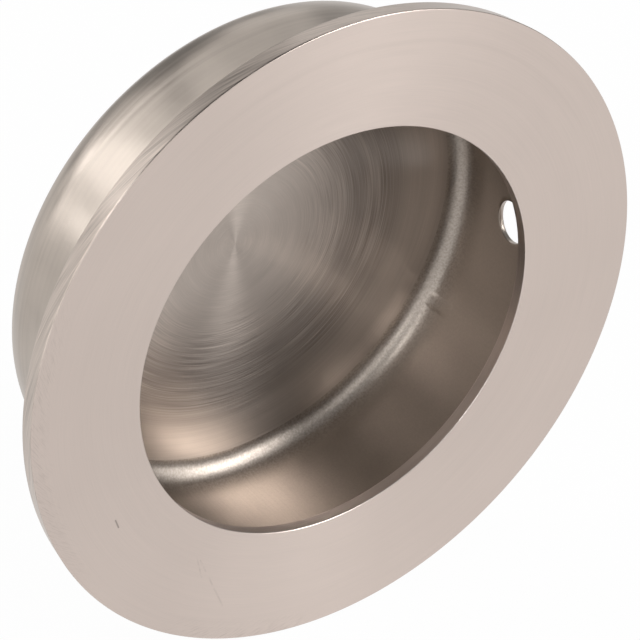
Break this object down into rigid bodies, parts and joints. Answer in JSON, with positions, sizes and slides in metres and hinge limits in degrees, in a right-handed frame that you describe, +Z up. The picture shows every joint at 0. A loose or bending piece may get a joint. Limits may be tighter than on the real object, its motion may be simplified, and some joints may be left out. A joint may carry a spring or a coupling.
{
  "type": "pocket door pull",
  "caption": "Round recessed pull for a sliding pocket door: flat satin metal face ring with an undercut finger mouth, thin cup behind it, screw hole in the side of the cup.",
  "frame": {"origin": "centre of the face ring's back face, the plane that lies on the door", "axes": "+Y along the round axis, into the door; the face looks towards -Y; +X towards the screw hole; +Z up"},
  "size_m": [0.0635, 0.016, 0.0634],
  "materials": {
    "face_metal": "warm satin, brushed round the axis",
    "cup_metal": "warm satin, turning marks on the floor"
  },
  "bodies": {
    "root": {"face_ring": "face_metal", "recess_cup": "cup_metal"}
  },
  "joints": []
}
